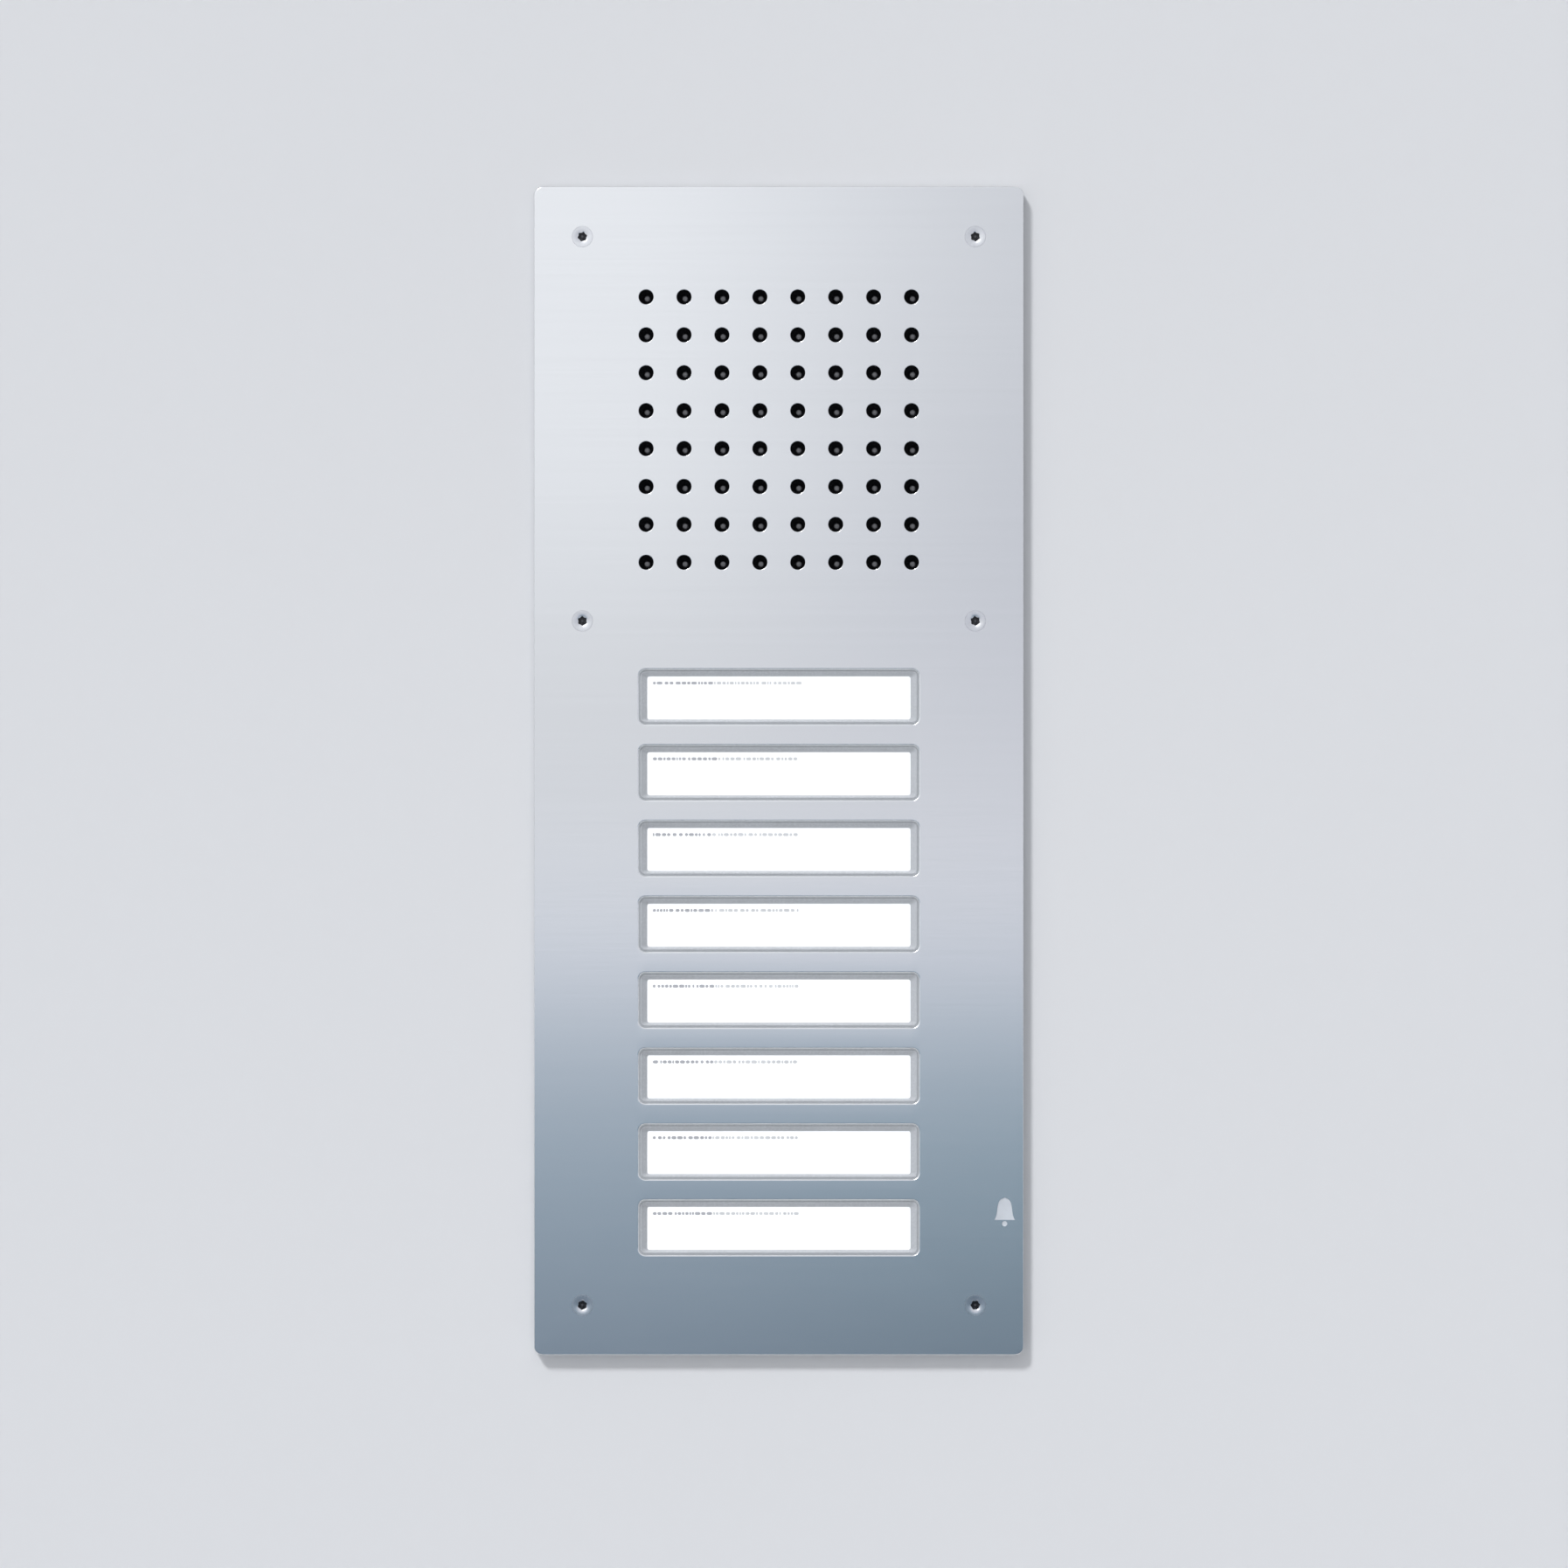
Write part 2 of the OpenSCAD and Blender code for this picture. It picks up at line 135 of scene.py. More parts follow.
def add_rings(bm, rings, first_material=0, materials=None, closed=False):
    """Joins rings of equal length with quads. Returns the rings' vertices.

    materials has a material number for each band between two rings; without it, every band has
    first_material. A closed surface joins its last ring to its first one.
    """
    rows = [[bm.verts.new(p * MM) for p in ring] for ring in rings]
    pairs = list(zip(rows, rows[1:])) + ([(rows[-1], rows[0])] if closed else [])
    for index, (a, b) in enumerate(pairs):
        for k in range(len(a)):
            n = (k + 1) % len(a)
            face = bm.faces.new((a[k], a[n], b[n], b[k]))
            face.material_index = materials[index] if materials else first_material
    return rows


def cap_ring(bm, row, material=0):
    """Fills a ring with one flat face."""
    face = bm.faces.new(row)
    face.material_index = material
    return face


def fill_between(bm, rows, material=0):
    """Fills the flat area between an outer ring and the rings of its holes."""
    edges = []
    for row in rows:
        for k in range(len(row)):
            pair = (row[k], row[(k + 1) % len(row)])
            edges.append(bm.edges.get(pair) or bm.edges.new(pair))
    made = bmesh.ops.triangle_fill(bm, use_beauty=True, edges=edges)
    for item in made["geom"]:
        if isinstance(item, bmesh.types.BMFace):
            item.material_index = material


def finish_piece(bm, name, body, slot, *materials, sharp=32.0, replaces=()):
    """Turns a bmesh into a piece that rides on a body, with its materials. The slot argument is not
    used.

    Edges that turn by more than sharp degrees stay sharp, and replaces names its CAD nodes.
    """
    bmesh.ops.recalc_face_normals(bm, faces=bm.faces)
    mesh = bpy.data.meshes.new(name)
    bm.to_mesh(mesh)
    bm.free()
    for polygon in mesh.polygons:
        polygon.use_smooth = True
    mesh.set_sharp_from_angle(angle=math.radians(sharp))
    piece = bpy.data.objects.new(name, mesh)
    bpy.context.scene.collection.objects.link(piece)
    for material in materials:
        mesh.materials.append(material)
    weighted = piece.modifiers.new("even_shading", "WEIGHTED_NORMAL")
    weighted.keep_sharp = True
    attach(piece, body)
    if replaces:
        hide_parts(*replaces)
    return piece


def lathe(bm, profile, centre=(0.0, 0.0), steps=40, material=0):
    """Turns an outline of [radius, y] points about an axis along Y.

    An outline that starts and ends on the axis makes a solid shaft, and any other one a ring.
    """
    on_axis = [r < 1e-6 for r, _ in profile]
    rings = [ring_at(circle_outline(max(r, 1e-6), steps, centre), y) for r, y in profile]
    if on_axis[0] and on_axis[-1]:
        rows = add_rings(bm, rings[1:-1], material)
        cap_ring(bm, rows[0], material)
        cap_ring(bm, rows[-1], material)
    else:
        add_rings(bm, rings, material, closed=True)


def arc_profile(centre, radius, start, end, steps=5):
    """Points [radius, y] along an arc, for a lathe's outline."""
    turns = [math.radians(start + (end - start) * k / steps) for k in range(steps + 1)]
    return [(centre[0] + radius * math.cos(a), centre[1] + radius * math.sin(a)) for a in turns]


# ---- Materials -----------------------------------------------------------------------------

class Look:
    """A Principled material with object-space noise that varies its colour, gloss and relief."""

    def __init__(self, name, colour, roughness, metallic=0.0, **sockets):
        self.material = bpy.data.materials.new(name)
        self.material.use_nodes = True
        self.tree = self.material.node_tree
        self.shader = self.tree.nodes["Principled BSDF"]
        self.colour = colour
        self.set(self.shader, "Base Color", (*colour, 1.0))
        self.set(self.shader, "Roughness", roughness)
        self.set(self.shader, "Metallic", metallic)
        for socket, value in sockets.items():
            self.set(self.shader, socket.replace("_", " "), value)
        self.bump_normal = None

    def set(self, node, socket, value):
        """Gives a node's socket a fixed value."""
        node.inputs[socket].default_value = value

    def node(self, kind, **settings):
        """Adds a node of a kind, with its settings."""
        made = self.tree.nodes.new(kind)
        for key, value in settings.items():
            setattr(made, key, value)
        return made

    def link(self, source, target):
        """Joins an output to an input."""
        self.tree.links.new(source, target)

    def place(self, scale):
        """Object coordinates stretched by a scale for each axis."""
        coordinates = self.node("ShaderNodeTexCoord")
        mapping = self.node("ShaderNodeMapping")
        self.set(mapping, "Scale", scale)
        self.link(coordinates.outputs["Object"], mapping.inputs["Vector"])
        return mapping.outputs["Vector"]

    def noise(self, scale, detail=3.0, roughness=0.55, distortion=0.0):
        """Noise with so many features a metre along each axis."""
        texture = self.node("ShaderNodeTexNoise")
        self.set(texture, "Scale", 1.0)
        self.set(texture, "Detail", detail)
        self.set(texture, "Roughness", roughness)
        self.set(texture, "Distortion", distortion)
        self.link(self.place(scale), texture.inputs["Vector"])
        return texture.outputs["Fac"]

    def remap(self, value, low, high, from_low=0.3, from_high=0.7):
        """Stretches a value's range to another one, and clamps it there."""
        node = self.node("ShaderNodeMapRange")
        for socket, number in (("From Min", from_low), ("From Max", from_high),
                               ("To Min", low), ("To Max", high)):
            self.set(node, socket, number)
        self.link(value, node.inputs["Value"])
        return node.outputs["Result"]

    def blend(self, value, first, second):
        """A colour between two, by a value from 0 to 1."""
        mix = self.node("ShaderNodeMix", data_type="RGBA")
        mix.inputs["A"].default_value = (*first, 1.0)
        mix.inputs["B"].default_value = (*second, 1.0)
        self.link(value, mix.inputs["Factor"])
        return mix.outputs["Result"]

    def vary_colour(self, value, first, second):
        """Lets a noise take the colour from one to another."""
        self.link(self.blend(self.remap(value, 0.0, 1.0), first, second),
                  self.shader.inputs["Base Color"])
        return self

    def vary_roughness(self, value, low, high):
        """Lets a noise take the roughness from one to another."""
        self.link(self.remap(value, low, high), self.shader.inputs["Roughness"])
        return self

    def relief(self, value, depth, strength=1.0):
        """Adds a bump of a real depth in metres on top of any earlier one."""
        bump = self.node("ShaderNodeBump")
        self.set(bump, "Strength", strength)
        self.set(bump, "Distance", depth)
        self.link(value, bump.inputs["Height"])
        if self.bump_normal is not None:
            self.link(self.bump_normal, bump.inputs["Normal"])
        self.bump_normal = bump.outputs["Normal"]
        self.link(self.bump_normal, self.shader.inputs["Normal"])
        return self

    def wear(self, value, share=0.15):
        """Darkens and lightens the plain colour a little by a noise."""
        dark = tuple(c * (1 - share) for c in self.colour)
        light = tuple(min(1.0, c * (1 + share)) for c in self.colour)
        return self.vary_colour(value, dark, light)


def brushed_metal(name, colour, roughness, grain, streak=0.02, anisotropy=0.5, axis="X",
                  relief=0.35):
    """Metal with a fine grain, whose noise scale along each axis makes its direction."""
    look = Look(name, colour, roughness, metallic=1.0, Anisotropic=anisotropy)
    tangent = look.node("ShaderNodeTangent", direction_type="RADIAL", axis=axis)
    look.link(tangent.outputs["Tangent"], look.shader.inputs["Tangent"])
    fine = look.noise(grain, detail=2.0)
    broad = look.noise(tuple(g * 0.12 for g in grain), detail=3.0)
    look.wear(broad, streak)
    look.vary_roughness(fine, roughness - relief * 0.1, roughness + relief * 0.1)
    look.relief(fine, 0.000004, relief)
    return look


def moulded(name, colour, roughness=0.5, grain=2500.0, depth=0.00002, share=0.12, **sockets):
    """Injection-moulded plastic with a fine spark-eroded texture and faint cloudiness."""
    look = Look(name, colour, roughness, **sockets)
    look.wear(look.noise((90.0,) * 3, detail=4.0), share)
    texture = look.noise((grain,) * 3, detail=2.0)
    look.vary_roughness(texture, roughness - 0.06, roughness + 0.08)
    look.relief(texture, depth, 0.5)
    return look


def panel_steel():
    """Satin stainless steel, brushed across the plate and faintly smudged."""
    look = brushed_metal("brushed_stainless", (0.80, 0.81, 0.82), 0.23, (70.0, 900.0, 6500.0),
                         streak=0.008, anisotropy=0.45, relief=0.16)
    smudge = look.noise((22.0, 22.0, 15.0), detail=5.0)
    look.relief(smudge, 0.00002, 0.06)
    return look.material


def etched_frost():
    """Matt, pale steel where the surface has been etched."""
    return moulded("etched_frost", (0.60, 0.64, 0.70), 0.6, 6000.0).material


def screw_steel():
    """Steel with the round grain of a turned head."""
    look = brushed_metal("screw_steel", (0.72, 0.73, 0.75), 0.3, (3000.0,) * 3, 0.05, 0.2, "Y")
    return look.material


def socket_shade():
    """Painted shade: dark, rough steel colour standing in for the shade deep inside a screw's
    socket.
    """
    return moulded("socket_shade", (0.055, 0.057, 0.065), 0.55, 5000.0, metallic=0.4).material


def galvanised():
    """Zinc with crystals of about 4 mm, each at its own angle to the light."""
    look = Look("galvanised_sheet", (0.62, 0.64, 0.66), 0.42, metallic=1.0)
    cells = look.node("ShaderNodeTexVoronoi")
    look.set(cells, "Scale", 1.0)
    look.set(cells, "Randomness", 1.0)
    look.link(look.place((240.0, 240.0, 240.0)), cells.inputs["Vector"])
    split = look.node("ShaderNodeSeparateColor")
    look.link(cells.outputs["Color"], split.inputs["Color"])
    shade = look.node("ShaderNodeMapRange")
    look.set(shade, "To Min", 0.0)
    look.set(shade, "To Max", 1.0)
    look.link(split.outputs["Red"], shade.inputs["Value"])
    look.link(look.blend(shade.outputs["Result"], (0.56, 0.58, 0.60), (0.68, 0.70, 0.72)),
              look.shader.inputs["Base Color"])
    look.link(look.remap(split.outputs["Green"], 0.34, 0.48, 0.0, 1.0),
              look.shader.inputs["Roughness"])
    look.relief(look.noise((1400.0,) * 3), 0.00001, 0.4)
    look.relief(look.noise((60.0, 60.0, 60.0), detail=5.0), 0.0001, 0.15)
    return look.material


def cloth():
    """Black woven cloth, painted grey where it crowns into the grille's holes: a painted highlight
    for the light that reaches the crowns.
    """
    look = Look("black_cloth", (0.02, 0.02, 0.022), 0.95, Specular_IOR_Level=0.05)
    weave = []
    for direction in ("X", "Z"):
        wave = look.node("ShaderNodeTexWave", bands_direction=direction)
        look.set(wave, "Scale", 1.0)
        look.set(wave, "Distortion", 0.3)
        look.link(look.place((900.0,) * 3), wave.inputs["Vector"])
        weave.append(wave.outputs["Fac"])
    product = look.node("ShaderNodeMath", operation="MULTIPLY")
    look.link(weave[0], product.inputs[0])
    look.link(weave[1], product.inputs[1])
    coordinates = look.node("ShaderNodeTexCoord")
    depth = look.node("ShaderNodeSeparateXYZ")
    painted_highlight = look.node("ShaderNodeMix", data_type="RGBA")
    look.link(coordinates.outputs["Object"], depth.inputs["Vector"])
    # Painted highlight: the crowns' tops are painted grey for the light that falls on them through
    # the holes; the cloth below stays black.
    crown_top = cloth_low.y - 1.4 * MM
    look.link(look.remap(depth.outputs["Y"], 1.0, 0.0, crown_top, crown_top + 0.5 * MM),
              painted_highlight.inputs["Factor"])
    look.link(look.blend(product.outputs["Value"], (0.006, 0.006, 0.007), (0.016, 0.016, 0.018)),
              painted_highlight.inputs["A"])
    look.link(look.blend(product.outputs["Value"], (0.12, 0.12, 0.13), (0.24, 0.24, 0.25)),
              painted_highlight.inputs["B"])
    look.link(painted_highlight.outputs["Result"], look.shader.inputs["Base Color"])
    look.relief(product.outputs["Value"], 0.0001, 0.8)
    return look.material


def label_film():
    """White film with fine fibres, lit from behind."""
    look = Look("label_film", (0.60, 0.61, 0.62), 0.55, Emission_Strength=0.8)
    look.set(look.shader, "Emission Color", (0.95, 0.97, 1.0, 1.0))
    fibres = look.noise((500.0, 500.0, 900.0), detail=4.0)
    look.vary_colour(fibres, (0.58, 0.59, 0.60), (0.62, 0.63, 0.64))
    look.relief(fibres, 0.00001, 0.3)
    return look.material


def clear_plastic():
    """A clear, slightly scuffed lens: mostly see-through, so that the label shows behind it."""
    look = Look("clear_cap", (0.93, 0.95, 0.98), 0.06, IOR=1.58, Alpha=0.16)
    scuffs = look.noise((900.0, 900.0, 200.0), detail=6.0)
    look.vary_roughness(scuffs, 0.04, 0.13)
    look.relief(look.noise((120.0,) * 3), 0.00003, 0.1)
    return look.material


def frosted_plastic(name, light):
    """The cap's matt plastic, which carries a little of the back light."""
    look = moulded(name, (0.42, 0.44, 0.47), 0.25, 1800.0, 0.00001, 0.04,
                   Emission_Strength=light)
    look.set(look.shader, "Emission Color", (0.92, 0.96, 1.0, 1.0))
    return look.material


def circuit_board():
    """Green solder resist with copper tracks just showing through as raised lines."""
    look = Look("circuit_board", (0.02, 0.17, 0.07), 0.28, Coat_Weight=0.4)
    brick = look.node("ShaderNodeTexBrick")
    for socket, value in (("Scale", 1.0), ("Mortar Size", 0.06), ("Brick Width", 1.7),
                          ("Row Height", 0.45)):
        look.set(brick, socket, value)
    turned = look.node("ShaderNodeVectorRotate", rotation_type="X_AXIS")
    look.set(turned, "Angle", math.radians(90))
    look.link(look.place((240.0, 240.0, 240.0)), turned.inputs["Vector"])
    look.link(turned.outputs["Vector"], brick.inputs["Vector"])
    look.link(look.blend(brick.outputs["Fac"], (0.012, 0.12, 0.05), (0.05, 0.32, 0.13)),
              look.shader.inputs["Base Color"])
    look.relief(brick.outputs["Fac"], 0.00005, 0.6)
    look.relief(look.noise((4000.0,) * 3), 0.000005, 0.3)
    return look.material


def ribbon_sheath():
    """Grey flat cable: ribs across its width, with painted shade in the grooves between them."""
    look = Look("ribbon_grey", (0.42, 0.43, 0.44), 0.45)
    wave = look.node("ShaderNodeTexWave", bands_direction="X")
    look.set(wave, "Scale", 1.0)
    look.link(look.place((250.0, 1.0, 1.0)), wave.inputs["Vector"])
    # Painted shade: the colour follows the ribs, lighter on their crests and darker in the grooves.
    look.vary_colour(wave.outputs["Fac"], (0.30, 0.31, 0.32), (0.52, 0.53, 0.54))
    look.relief(wave.outputs["Fac"], 0.0004, 0.9)
    return look.material


def make_materials():
    """One material for each slot of the record."""
    steel = brushed_metal
    return {
        "brushed_stainless": panel_steel(),
        "screw_steel": screw_steel(),
        "plated_nut": steel("plated_nut", (0.76, 0.66, 0.42), 0.32, (2500.0,) * 3, 0.12,
                            0.0).material,
        "galvanised_sheet": galvanised(),
        "basket_steel": moulded("basket_steel", (0.03, 0.03, 0.033), 0.35, 900.0).material,
        "magnet_iron": moulded("magnet_iron", (0.09, 0.09, 0.095), 0.55, 1500.0, 0.00006,
                               0.3).material,
        "capsule_aluminium": steel("capsule_aluminium", (0.83, 0.83, 0.85), 0.3,
                                   (2000.0, 200.0, 2000.0), 0.04, 0.3, "Y").material,
        "spring_steel": steel("spring_steel", (0.7, 0.7, 0.72), 0.22, (1500.0,) * 3, 0.08,
                              0.0).material,
        "black_foam": moulded("black_foam", (0.03, 0.03, 0.032), 0.85, 3500.0, 0.00025,
                              0.35).material,
        "black_rubber": moulded("black_rubber", (0.028, 0.028, 0.03), 0.6, 1600.0, 0.00004,
                                0.25).material,
        "black_cloth": cloth(),
        "cone_paper": moulded("cone_paper", (0.035, 0.035, 0.04), 0.8, 700.0, 0.0001,
                              0.3).material,
        "black_plastic": moulded("black_plastic", (0.03, 0.03, 0.033), 0.45).material,
        "carrier_plastic": moulded("carrier_plastic", (0.12, 0.12, 0.13), 0.5).material,
        "component_plastic": moulded("component_plastic", (0.03, 0.03, 0.034), 0.4,
                                     1200.0).material,
        "terminal_plastic": moulded("terminal_plastic", (0.04, 0.26, 0.12), 0.42).material,
        "trimmer_plastic": moulded("trimmer_plastic", (0.04, 0.13, 0.42), 0.4).material,
        "white_plastic": moulded("white_plastic", (0.85, 0.85, 0.83), 0.42).material,
        "circuit_board": circuit_board(),
        "ribbon_grey": ribbon_sheath(),
        "led_resin": moulded("led_resin", (0.92, 0.84, 0.45), 0.2, 900.0).material,
        "opal_plastic": moulded("opal_plastic", (0.9, 0.91, 0.93), 0.4).material,
        "clear_cap": clear_plastic(),
        "label_film": label_film(),
    }


looks = make_materials()
frosted = frosted_plastic("frosted_cap_rim", 0.07)
lit = frosted_plastic("frosted_cap_sides", 0.27)
etched = etched_frost()
shaded = socket_shade()
bold_ink = moulded("bold_ink", (0.36, 0.37, 0.40), 0.6, 3000.0).material
pale_ink = moulded("pale_ink", (0.68, 0.69, 0.71), 0.6, 3000.0).material

for row in frame["record"]["subparts"]:
    cad_mesh = frame["nodes"][row["node"]].data
    cad_mesh.materials.clear()
    cad_mesh.materials.append(looks[row["material_slot"]])


# ---- Front panel ---------------------------------------------------------------------------

def through_feature(bm, outline, size, centre, fillet, grow, steps=3):
    """Rings of one edge of the plate, rounded over at both faces.

    outline(size, centre) draws the edge; grow is -1 for the plate's outer edge and 1 for a
    hole, whose edge at each face is a fillet's width wider. Returns the two end rings.
    """
    rings = []
    for face_y, inward, order in ((FRONT, 1, range(steps + 1)), (BACK, -1, range(steps, -1, -1))):
        for k in order:
            a = math.radians(90 * k / steps)
            spread = fillet * (1 - math.sin(a))
            rings.append(ring_at(outline(size, grow * spread, centre),
                                 face_y + inward * fillet * (1 - math.cos(a))))
    rows = add_rings(bm, rings)
    return rows[0], rows[-1]


def plate_edge(size, grow, centre):
    """An oblong's outline, grown on all sides. size is its width, height and corner radius."""
    width, height, radius = size
    return rounded_outline(width + 2 * grow, height + 2 * grow, radius + grow, 10, centre)


def hole_edge(size, grow, centre):
    """A round hole's outline, grown on all sides. size is its radius."""
    return circle_outline(size + grow, 36, centre)


def countersink(bm, centre):
    """A screw's countersunk hole through the plate. Returns its two end rings."""
    seat_r, shank_r, chamfer = HEAD_R + 0.03, 1.7, 0.03
    profile = [(seat_r + chamfer, FRONT), (seat_r, FRONT + chamfer),
               (shank_r, FRONT + chamfer + seat_r - shank_r), (shank_r, BACK)]
    rows = add_rings(bm, [ring_at(circle_outline(r, 40, centre), y) for r, y in profile])
    return rows[0], rows[-1]


def bell_outline(centre, height, steps=12):
    """A plain bell: a round crown that flares to a flat lip."""
    half = []
    for k in range(steps + 1):
        t = k / steps
        width = 0.34 * math.sqrt(max(0.0, 1 - (1 - t) ** 4)) + 0.13 * t ** 6
        half.append((width * height, (0.5 - t) * height))
    right = [(centre[0] + w, centre[1] + z) for w, z in half]
    left = [(centre[0] - w, centre[1] + z) for w, z in half[1:]]
    return list(reversed(right)) + left


def etched_pocket(bm, outline, depth=0.12):
    """A shallow etched shape with a matt floor. Returns its ring on the plate's face."""
    rows = add_rings(bm, [ring_at(outline, FRONT), ring_at(outline, FRONT + depth)])
    cap_ring(bm, rows[-1], 1)
    return rows[0]


def make_front_panel():
    """The steel plate with its grille, windows, screw holes and a plain etched bell."""
    bm = bmesh.new()
    fronts, backs = [], []
    features = [(plate_edge, (PANEL_W, PANEL_H, CORNER_R), (0.0, 0.0), EDGE_R, -1)]
    for centre in hole_centres():
        features.append((hole_edge, HOLE_R, centre, HOLE_FILLET, 1))
    for i in BUTTONS:
        size = (WINDOW_W, WINDOW_H, WINDOW_R)
        features.append((plate_edge, size, (0.0, BUTTON_Z[i]), WINDOW_FILLET, 1))
    for outline, size, centre, fillet, grow in features:
        front, back = through_feature(bm, outline, size, centre, fillet, grow)
        fronts.append(front)
        backs.append(back)
    for centre in SCREWS:
        front, back = countersink(bm, centre)
        fronts.append(front)
        backs.append(back)
    bell, height = (65.5, -127.0), 6.5
    clapper = (bell[0], bell[1] - height * 0.67)
    fronts.append(etched_pocket(bm, bell_outline(bell, height)))
    fronts.append(etched_pocket(bm, circle_outline(height * 0.12, 16, clapper)))
    fill_between(bm, fronts)
    fill_between(bm, backs)
    return finish_piece(bm, "steel_front_panel", HOUSING, "brushed_stainless",
                        looks["brushed_stainless"], etched, replaces=["front_panel"])


make_front_panel()


# ---- Acoustic cloth and seal ---------------------------------------------------------------

def make_cloth():
    """Black cloth stretched behind the grille, crowned into each hole and sagging a little."""
    bm = bmesh.new()
    front, back = cloth_low.y / MM, cloth_high.y / MM
    width = (cloth_high.x - cloth_low.x) / MM
    stud_x, crown_r, crown, sag = 44.0, 1.2, 1.5, (0.3, -0.45)
    outline = rounded_outline(width, width, 1.0, 4, (0.0, GRILLE_Z))
    edge = add_rings(bm, [ring_at(outline, front), ring_at(outline, back)])
    fronts, backs = [edge[0]], [edge[-1]]
    for sx in (-1, 1):
        for sz in (-1, 1):
            stud = circle_outline(1.7, 24, (sx * stud_x, GRILLE_Z + sz * stud_x))
            rows = add_rings(bm, [ring_at(stud, front), ring_at(stud, back)])
            fronts.append(rows[0])
            backs.append(rows[-1])
    for x, z in hole_centres():
        centre = (x + sag[0], z + sag[1])
        rings = [ring_at(circle_outline(crown_r * share, 20, centre),
                         front - crown * (1 - share ** 3))
                 for share in (1, 0.85, 0.65, 0.45, 0.2)]
        rows = add_rings(bm, rings)
        cap_ring(bm, rows[-1])
        fronts.append(rows[0])
    fill_between(bm, fronts)
    fill_between(bm, backs)
    piece = finish_piece(bm, "speech_cloth", HOUSING, "black_cloth", looks["black_cloth"],
                         replaces=["acoustic_cloth"])


def make_seal():
    """A foam strip round the box, with soft bulging sides."""
    low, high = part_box("panel_gasket")
    front, back = low.y / MM, high.y / MM
    outer = ((high.x - low.x) / MM, (high.z - low.z) / MM, CORNER_R)
    inner = (128.4, 325.4, 3.2)
    middle, half, bulge = (front + back) / 2, (back - front) / 2, 0.3
    rings = []
    for size, grow in ((outer, -1), (inner, 1)):
        for turn in (-90, -60, -30, 0, 30, 60, 90):
            pull = bulge * (1 - math.cos(math.radians(turn)))
            y = middle + half * math.sin(math.radians(turn if grow < 0 else -turn))
            rings.append(ring_at(plate_edge(size, grow * pull, (0.0, 0.0)), y))
    bm = bmesh.new()
    add_rings(bm, rings, closed=True)
    piece = finish_piece(bm, "foam_seal", HOUSING, "black_foam", looks["black_foam"],
                         sharp=50.0, replaces=["panel_gasket"])


make_cloth()
make_seal()


# ---- Security screws -----------------------------------------------------------------------

def lobed_outline(radius, depth, steps, centre, turn):
    """A six-lobed socket's outline, with a point for each point of the head's circles."""
    points = []
    for k in range(steps):
        a = 2 * math.pi * k / steps
        r = radius + depth * math.cos(6 * (a - turn))
        points.append((centre[0] + r * math.cos(a), centre[1] + r * math.sin(a)))
    return points


def add_screw(bm, centre, turn):
    """A flush countersunk screw with a six-lobed socket and a pin standing in it."""
    steps = 48
    socket_r, lobe, socket_depth = 1.28, 0.11, 1.3
    pin_r, pin_top = 0.42, 0.35
    shank_r, chamfer, tip = 1.45, 0.04, 10.0

    def circle(r, y):
        """A round ring of the screw."""
        return ring_at(circle_outline(r, steps, centre), y)

    def lobed(r, y):
        """A six-lobed ring of the socket."""
        return ring_at(lobed_outline(r, lobe, steps, centre, turn), y)

    rings = [circle(0.2, FRONT + pin_top), circle(pin_r - 0.08, FRONT + pin_top),
             circle(pin_r, FRONT + 0.45), circle(pin_r, FRONT + socket_depth),
             lobed(socket_r - 0.05, FRONT + socket_depth), lobed(socket_r, FRONT + 0.22),
             circle(socket_r + 0.12, FRONT + 0.2), circle(socket_r + 0.5, FRONT),
             circle(HEAD_R - chamfer, FRONT), circle(HEAD_R, FRONT + chamfer),
             circle(shank_r, FRONT + chamfer + HEAD_R - shank_r)]
    # Painted shade: the pin and the socket's walls and floor take the dark socket material, for the
    # shade deep in the socket.
    socket_bands = 5
    thread_pitch, thread_depth = 0.5, 0.12
    y = FRONT + 2.2
    while y < tip - 0.6:
        rings += [circle(shank_r, y), circle(shank_r - thread_depth, y + thread_pitch / 2)]
        y += thread_pitch
    rings += [circle(shank_r - thread_depth, tip - 0.3), circle(shank_r - 0.4, tip)]
    rows = add_rings(bm, rings, materials=[int(k < socket_bands) for k in range(len(rings))])
    cap_ring(bm, rows[0], 1)
    cap_ring(bm, rows[-1])


def make_screws():
    """The six screws, each turned to an angle of its own."""
    rng = random.Random(3)
    bm = bmesh.new()
    for centre in SCREWS:
        add_screw(bm, centre, rng.uniform(0, math.pi / 3))
    return finish_piece(bm, "security_screws", HOUSING, "screw_steel", looks["screw_steel"],
                        shaded, replaces=["panel_screws"])


make_screws()


# ---- Call buttons --------------------------------------------------------------------------

LABEL_W, LABEL_H = 76.5, 12.6
label_low, label_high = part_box("name_label_1")
LABEL_FRONT = label_low.y / MM
LABEL_BACK = label_high.y / MM
LABEL_DROP = BUTTON_Z[1] - cad_centre("name_label_1").z
CAP_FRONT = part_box("button_cap_1")[0].y / MM
FLANGE_W, FLANGE_H, FLANGE_R = 86.0, 18.0, 1.6
FLANGE_FRONT, FLANGE_BACK = BACK + 0.1, 0.6
PEG_X, PEG_R = 40.5, 1.35
PEG_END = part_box("button_cap_1")[1].y / MM
POCKET_FRONT = LABEL_FRONT - 0.05


